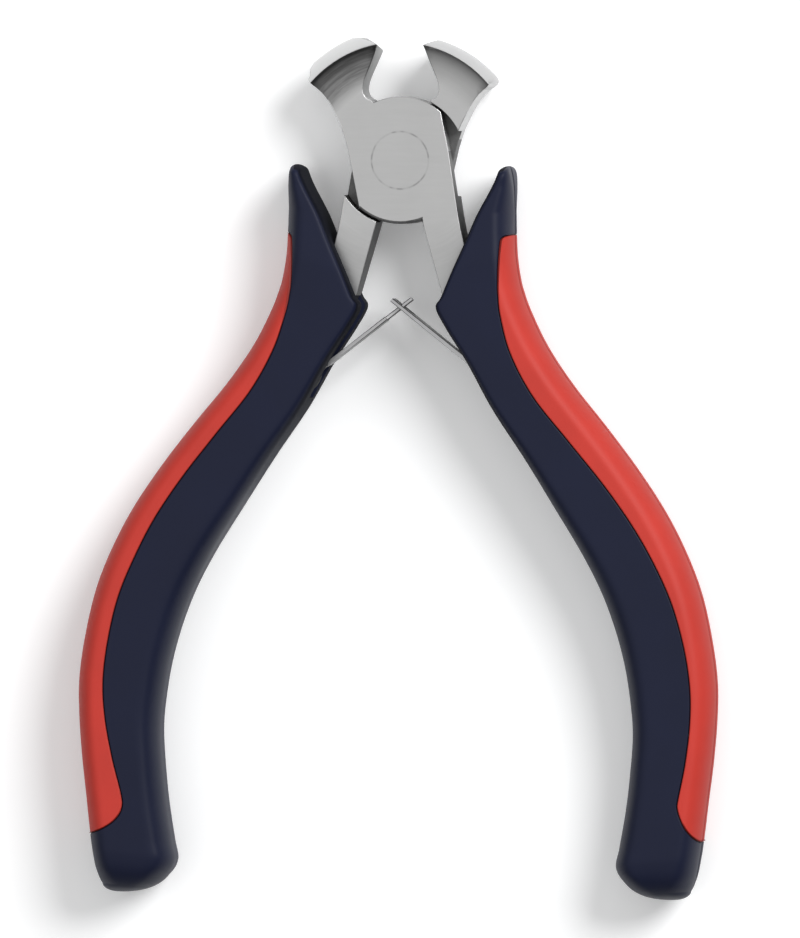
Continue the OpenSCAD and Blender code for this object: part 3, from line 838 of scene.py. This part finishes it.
def chamfered(node, name, width, skip_radius=0.0, side=0):
    """A merged copy of a CAD node with its sharp edges broken, but for those near the pivot.

    The side is that of a lever, whose arm is eased too: 1 front lever, -1 back lever.
    """
    mesh = frame["nodes"][node].data.copy()
    work = bmesh.new()
    work.from_mesh(mesh)
    bmesh.ops.remove_doubles(work, verts=work.verts, dist=MERGE * MM)
    bmesh.ops.dissolve_limit(work, angle_limit=math.radians(COPLANAR), verts=work.verts,
                             edges=work.edges)
    if side:
        ease_arm(work, side)
    weight = work.edges.layers.float.new("bevel_weight_edge")
    widest = UNDERCUT_WIDTH if side > 0 else width
    for edge in work.edges:
        if len(edge.link_faces) != 2 or edge.calc_face_angle() < math.radians(SHARP_EDGE):
            continue
        middle = (edge.verts[0].co + edge.verts[1].co) / 2 - PIVOT
        jaw_end = middle.xy.length > JAW_END * MM and edge.calc_length() < SHORT_EDGE * MM
        if middle.xy.length > skip_radius * MM and not jaw_end:
            under = side > 0 and undercut(middle)
            edge[weight] = 1.0 if under else width / widest
    work.to_mesh(mesh)
    work.free()
    piece = new_piece(name, mesh)
    bevel = piece.modifiers.new("chamfer", "BEVEL")
    bevel.limit_method = "WEIGHT"
    bevel.width = widest * MM
    bevel.segments = 2
    bevel.use_clamp_overlap = False
    applied(piece)
    shade(piece, STEEL_SMOOTH, FACE_WEIGHT)
    return piece


def groove_points():
    """Corners of the spring groove and the seat's frame, closed, in millimetres."""
    seat = GripForm([RIB_RUN * SEAT_TOP_SHARE, RIB_RUN * SEAT_LOW_SHARE]).from_inner(SEAT_DEPTH)
    top = Vector(seat[0])
    down = (Vector(seat[1]) - top).normalized()
    out = Vector((down.y, -down.x))
    low = top + down * (FOOT_LENGTH + LEAF_GAP)
    neck = Vector(ARM_NECK)
    return [neck, top, low, low + out * GROOVE_OUT, neck + out * GROOVE_OUT], top, down, out


def prism(name, corners, half):
    """A straight prism over a flat outline."""
    work = bmesh.new()
    face = work.faces.new([work.verts.new((p.x, p.y, -half)) for p in corners])
    pulled = bmesh.ops.extrude_face_region(work, geom=[face])
    top = [made for made in pulled["geom"] if isinstance(made, bmesh.types.BMVert)]
    bmesh.ops.translate(work, verts=top, vec=(0, 0, 2 * half))
    bmesh.ops.recalc_face_normals(work, faces=work.faces)
    mesh = bpy.data.meshes.new(name)
    work.to_mesh(mesh)
    work.free()
    return new_piece(name, mesh)


def strip_tree(material):
    """Geometry nodes: a strip of a given thickness and width that follows a path of edges."""
    group = bpy.data.node_groups.new("spring_strip_on_path", "GeometryNodeTree")
    sides = group.interface
    sides.new_socket("Path", in_out="INPUT", socket_type="NodeSocketGeometry")
    for name in ("Thickness", "Width"):
        sides.new_socket(name, in_out="INPUT", socket_type="NodeSocketFloat")
    sides.new_socket("Strip", in_out="OUTPUT", socket_type="NodeSocketGeometry")

    def add(kind, **links):
        made = group.nodes.new(kind)
        for name, source in links.items():
            group.links.new(source, made.inputs[name.replace("_", " ")])
        return made

    start = add("NodeGroupInput")
    curve = add("GeometryNodeMeshToCurve", Mesh=start.outputs["Path"])
    upright = add("GeometryNodeSetCurveNormal", Curve=curve.outputs[0])
    upright.mode = "Z_UP"
    profile = add("GeometryNodeCurvePrimitiveQuadrilateral",
                  Width=start.outputs["Thickness"], Height=start.outputs["Width"])
    strip = add("GeometryNodeCurveToMesh",
                Curve=upright.outputs[0], Profile_Curve=profile.outputs[0])
    strip.inputs["Fill Caps"].default_value = True
    real = add("GeometryNodeRealizeInstances", Geometry=strip.outputs[0])
    finish = add("GeometryNodeSetMaterial", Geometry=real.outputs[0])
    finish.inputs["Material"].default_value = material
    end = add("NodeGroupOutput")
    group.links.new(finish.outputs[0], end.inputs[0])
    return group


def strip_on_path(name, points, group, thickness, width):
    """A piece made by the strip tree over a path of points in metres."""
    mesh = bpy.data.meshes.new(name)
    mesh.from_pydata(points, [(i, i + 1) for i in range(len(points) - 1)], [])
    piece = new_piece(name, mesh)
    modifier = piece.modifiers.new("strip", "NODES")
    modifier.node_group = group
    sizes = {"Thickness": thickness, "Width": width}
    for item in group.interface.items_tree:
        if item.name in sizes:
            modifier[item.identifier] = sizes[item.name]
    return applied(piece)


class NippersLooks(bpy.types.PropertyGroup):
    navy: bpy.props.FloatVectorProperty(
        name="Grip colour", description="Colour of the moulded grips",
        subtype="COLOR", size=3, min=0, max=1, default=(0.0083, 0.011, 0.03))
    red: bpy.props.FloatVectorProperty(
        name="Inlay colour", description="Colour of the soft inlays",
        subtype="COLOR", size=3, min=0, max=1, default=(0.52, 0.036, 0.024))
    steel: bpy.props.FloatVectorProperty(
        name="Lever steel", description="Reflection colour of the ground levers",
        subtype="COLOR", size=3, min=0, max=1, default=(0.48, 0.48, 0.479))
    # Also the colour of painted shade on laps, throats, strip edges and the spring rivets
    forged_and_shade: bpy.props.FloatVectorProperty(
        name="Forged steel", description="Reflection colour of walls left as forged",
        subtype="COLOR", size=3, min=0, max=1, default=(0.09, 0.09, 0.09))
    spring: bpy.props.FloatVectorProperty(
        name="Spring steel", description="Reflection colour of the spring strips",
        subtype="COLOR", size=3, min=0, max=1, default=(0.4, 0.4, 0.405))
    chamfer: bpy.props.FloatProperty(
        name="Chamfer", description="Width of the broken edges of the levers, in millimetres",
        min=0.02, max=0.3, default=0.13)
    seam_depth: bpy.props.FloatProperty(
        name="Seam depth", description="Depth of the seam round the inlay, in millimetres",
        min=0, max=0.4, default=0.2)
    seam_width: bpy.props.FloatProperty(
        name="Seam width", description="Width of one side of that seam, in millimetres",
        min=0.05, max=0.5, default=0.18)
    parting_height: bpy.props.FloatProperty(
        name="Parting height", description="Height of the mould's parting line over mid-grip, "
        "in millimetres", min=0, max=2, default=1.0)
    parting_depth: bpy.props.FloatProperty(
        name="Parting depth", description="Depth of the mould's parting line, in millimetres",
        min=0, max=0.3, default=0.2)


class NippersStage(bpy.types.PropertyGroup):
    camera_height: bpy.props.FloatProperty(
        name="Camera height", description="Height of the camera over the levers' middle plane",
        unit="LENGTH", default=2.0216)
    lens: bpy.props.FloatProperty(
        name="Lens", description="Focal length on a 36 mm wide sensor, in millimetres",
        default=720.0)
    tilt_right: bpy.props.FloatProperty(
        name="Tilt right", description="Slope of the view across the tool", default=0.13)
    tilt_up: bpy.props.FloatProperty(
        name="Tilt up", description="Slope of the view along the tool", default=0.02)
    roll: bpy.props.FloatProperty(
        name="Roll", description="Turn of the tool on the table, clockwise",
        subtype="ANGLE", default=math.radians(0.7))


class NIPPERS_OT_levers(bpy.types.Operator):
    """Makes both forgings and the pivot rivet, with broken edges, in ground steel"""

    bl_idname = "nippers.levers"
    bl_label = "Levers and rivet"

    def execute(self, context):
        looks = context.scene.nippers_looks
        steel = ground_steel(looks)
        for name, side, hollow, crown in LEVERS:
            lever = chamfered(name, name + "_ground", looks.chamfer, BORE_CLEAR, side)
            mark_finish_and_painted_light(lever, hollow, crown)
            declare(lever, name, steel)
        finish_with(frame["nodes"]["pivot_rivet"], steel)
        return {"FINISHED"}


class NIPPERS_OT_springs(bpy.types.Operator):
    """Makes both spring strips: flexing leaves, riveted feet and their small rivets"""

    bl_idname = "nippers.springs"
    bl_label = "Leaf springs"

    def execute(self, context):
        looks = context.scene.nippers_looks
        strip = spring_strip(looks)
        dark = groove_shade_steel(looks)
        group = strip_tree(strip)
        for name, side in (("right", 1), ("left", -1)):
            leaf = chamfered(name + "_spring_leaf", name + "_leaf_strip", LEAF_CHAMFER)
            mark_strip_shade(leaf, front=0.0)
            declare(leaf, name + "_spring_leaf", strip)
            foot = strip_on_path(name + "_foot_strip", self.foot_path(side), group,
                                 LEAF_THICK * MM, LEAF_WIDE * MM)
            mark_strip_shade(foot, front=0.7)
            declare(foot, name + "_spring_foot", strip)
            finish_with(frame["nodes"][name + "_spring_rivet"], dark)
        return {"FINISHED"}

    def foot_path(self, side):
        """Up the seat, then out to the root of the leaf."""
        _, top, down, out = groove_points()
        skin = out * (LEAF_THICK / 2)
        bend = top + out * (LEAF_THICK + BEND_GAP + LEAF_THICK / 2)
        first = top + down * FOOT_LENGTH + skin
        knee = top + down * KNEE_DROP + skin
        control = top + down * TURN_DROP + skin
        points = [first + (knee - first) * (k / FOOT_STEPS) for k in range(FOOT_STEPS)]
        for k in range(BEND_STEPS + 1):
            t = k / BEND_STEPS
            points.append(knee * (1 - t) ** 2 + control * (2 * t * (1 - t)) + bend * t * t)
        matrix = lever_matrix(side)
        return [matrix @ Vector((p.x, p.y, 0)) for p in points]


class NIPPERS_OT_grips(bpy.types.Operator):
    """Makes both moulded sleeves, with the spring's groove, and both soft inlays"""

    bl_idname = "nippers.grips"
    bl_label = "Grips and inlays"

    def execute(self, context):
        looks = context.scene.nippers_looks
        navy = moulded("grip_moulding", looks.navy,
                       roughness=0.46, gloss=0.16, texture=0.25, seam_shade_share=0.85)
        red = moulded("inlay_rubber", looks.red,
                      roughness=0.55, gloss=0.3, texture=0.3, seam_shade_share=0.6)
        sleeve = self.sleeve(looks)
        inlay = self.inlay(looks)
        for name, side in (("right", 1), ("left", -1)):
            for kind, mesh, material in (("grip", sleeve, navy), ("grip_inlay", inlay, red)):
                node = name + "_" + kind
                placed = mesh.copy()
                placed.transform(lever_matrix(side))
                piece = new_piece(node + "_moulding", placed)
                shade(piece, GRIP_SMOOTH)
                if kind == "grip":
                    mark_wall_shade(piece, side)
                declare(piece, node, material)
        return {"FINISHED"}

    def stations(self):
        """Rib numbers of the horn, of the inlaid stretch and of the foot."""
        near = np.array(NEAR_TOP)
        horn = np.concatenate([
            np.linspace(1, INLAY_TOP - NEAR_TOP_END, HORN_STATIONS), (INLAY_TOP - near)[::-1]])
        lobe_start = INLAY_FOOT - INLAY_LOBE - LOBE_LEAD
        stretch = np.concatenate([
            INLAY_TOP + near,
            np.linspace(INLAY_TOP + NEAR_TOP_END, lobe_start, STRETCH_STATIONS),
            np.linspace(lobe_start, INLAY_FOOT - LOBE_STOP, LOBE_STATIONS)[1:]])
        foot = np.linspace(INLAY_FOOT, RIB_RUN - 1, FOOT_STATIONS)
        return horn, stretch, foot

    def sleeve(self, looks):
        """Mesh of one sleeve, closed and in millimetres, with the groove cut."""
        horn, stretch, foot = self.stations()
        inlaid = np.concatenate([np.zeros_like(horn), np.ones_like(stretch), np.zeros_like(foot)])
        form = GripForm(np.concatenate([horn, stretch, foot]), inlaid > 0)
        sunk = sink(form, sleeve_rings(form, looks.parting_height), looks)
        piece = new_piece("sleeve", ring_mesh("sleeve", form, *sunk, HORN_CAP, FOOT_CAP))
        cutter = prism("groove", groove_points()[0], LEAF_WIDE / 2 + LEAF_GAP)
        cut = piece.modifiers.new("groove", "BOOLEAN")
        cut.operation = "DIFFERENCE"
        cut.solver = "EXACT"
        cut.object = cutter
        mesh = applied(piece).data
        bpy.data.objects.remove(piece)
        bpy.data.objects.remove(cutter)
        return mesh

    def inlay(self, looks):
        """Mesh of one inlay, closed and in millimetres."""
        form = GripForm(self.stations()[1])
        rings = inlay_rings(form, looks.parting_height)
        return ring_mesh("inlay", form, *sink(form, rings, looks))


class NIPPERS_OT_stage(bpy.types.Operator):
    """Sets the floor, the lamps, the surroundings and the camera"""

    bl_idname = "nippers.stage"
    bl_label = "Set the stage"

    def execute(self, context):
        self.floor()
        self.lamps()
        self.surroundings(context.scene)
        self.camera(context.scene, context.scene.nippers_stage)
        context.scene.view_settings.view_transform = "Standard"
        return {"FINISHED"}

    def floor(self):
        """A table that is white to the camera and in reflections, and lights the tool less."""
        mesh = bpy.data.meshes.new("table")
        corners = [(x * TABLE_REACH, y * TABLE_REACH, 0)
                   for x, y in ((-1, -1), (1, -1), (1, 1), (-1, 1))]
        mesh.from_pydata(corners, [], [(0, 1, 2, 3)])
        table = new_piece("table", mesh)
        material = bpy.data.materials.new("table_white")
        tree = Tree(material)
        paths = tree.nodes.new("ShaderNodeLightPath")
        seen = (Sock(tree, paths.outputs["Is Camera Ray"])
                + Sock(tree, paths.outputs["Is Glossy Ray"]))
        plain = tree.node("ShaderNodeBsdfDiffuse", None, {0: TABLE_GREY})
        glow = tree.node("ShaderNodeEmission", None, {0: WHITE, 1: TABLE_GLOW})
        bright = tree.node("ShaderNodeBsdfDiffuse", None, {0: TABLE_WHITE})
        both = tree.node("ShaderNodeAddShader", None, [bright, glow])
        mixed = tree.node("ShaderNodeMixShader", None, [seen, plain, both])
        tree.node("ShaderNodeOutputMaterial", None, {0: mixed})
        finish_with(table, material)

    def lamps(self):
        """Round panels that aim at the tool and that the camera doesn't see."""
        for name, place, size, watts in LAMPS:
            lamp = bpy.data.lights.new(name, "AREA")
            lamp.shape = "DISK"
            lamp.size = size
            lamp.energy = watts
            holder = new_piece(name, lamp)
            holder.location = place
            aim = Vector(LAMP_AIM) - Vector(place)
            holder.rotation_euler = aim.to_track_quat("-Z", "Y").to_euler()
            holder.visible_camera = False

    def surroundings(self, scene):
        """A soft sky: bright overhead, darker low down, darkest to the lower right."""
        world = bpy.data.worlds.new("studio")
        scene.world = world
        tree = Tree(world)
        paths = tree.nodes.new("ShaderNodeLightPath")
        seen = Sock(tree, paths.outputs["Is Camera Ray"])
        x, y, z = tree.split(tree.node("ShaderNodeTexCoord"))
        above = 0.55 * z.ramp(0.86, 0.99) + 0.3 * z.ramp(0.3, 0.9)
        around = 0.35 * (-0.8 * x + 0.6 * y).ramp(-0.6, 0.6)
        level = SKY_LEAST + above + around
        soft = tree.node("ShaderNodeBackground", None, {0: WHITE, 1: level})
        white = tree.node("ShaderNodeBackground", None, {0: WHITE, 1: 1.0})
        mixed = tree.node("ShaderNodeMixShader", None, [seen, soft, white])
        tree.node("ShaderNodeOutputWorld", None, {0: mixed})

    def camera(self, scene, stage):
        """A long lens, placed so that the pivot's front is seen where the photo shows it."""
        data = bpy.data.cameras.new("camera")
        data.sensor_fit = "HORIZONTAL"
        data.sensor_width = SENSOR
        data.lens = stage.lens
        data.clip_end = CLIP_END
        camera = new_piece("camera", data)
        scene.camera = camera
        # Directions of the part's axes as the camera sees them: right, up, towards it
        z_axis = Vector((-stage.tilt_right, -stage.tilt_up, 1.0)).normalized()
        y_axis = Vector((0, 1, 0)) - z_axis * z_axis.y
        y_axis.normalize()
        x_axis = y_axis.cross(z_axis)
        roll = Matrix.Rotation(-stage.roll, 3, "Z")
        axes = Matrix((x_axis, y_axis, z_axis)).transposed() @ roll
        focal = stage.lens / data.sensor_width
        wide, high = PICTURE
        offset = Vector((PIVOT_PIXEL.x - wide / 2, high / 2 - PIVOT_PIXEL.y)) / wide
        ray = Vector((offset.x / focal, offset.y / focal, -1.0))
        front = JOINT_HALF * MM
        depth = -(stage.camera_height - front) / ray.dot(z_axis)
        pivot_seen = ray * depth - z_axis * front
        camera.matrix_world = Matrix.Translation(PIVOT - axes.transposed() @ pivot_seen) @ (
            axes.transposed().to_4x4())


class NIPPERS_PT_panel(bpy.types.Panel):
    """Lists the sizes, the colours and the steps"""

    bl_label = "Nippers"
    bl_idname = "NIPPERS_PT_panel"
    bl_space_type = "VIEW_3D"
    bl_region_type = "UI"
    bl_category = "Nippers"

    def draw(self, context):
        for group in (context.scene.nippers_looks, context.scene.nippers_stage):
            for name in group.__annotations__:
                self.layout.prop(group, name)
        for step in STEPS:
            self.layout.operator(step.bl_idname)


STEPS = (NIPPERS_OT_levers, NIPPERS_OT_springs, NIPPERS_OT_grips, NIPPERS_OT_stage)
CLASSES = (NippersLooks, NippersStage) + STEPS + (NIPPERS_PT_panel,)


def register():
    for made in CLASSES:
        bpy.utils.register_class(made)
    bpy.types.Scene.nippers_looks = bpy.props.PointerProperty(type=NippersLooks)
    bpy.types.Scene.nippers_stage = bpy.props.PointerProperty(type=NippersStage)


def unregister():
    del bpy.types.Scene.nippers_stage
    del bpy.types.Scene.nippers_looks
    for made in reversed(CLASSES):
        bpy.utils.unregister_class(made)


def main():
    register()
    for step in STEPS:
        group, name = step.bl_idname.split(".")
        getattr(getattr(bpy.ops, group), name)()


if __name__ == "__main__":
    main()
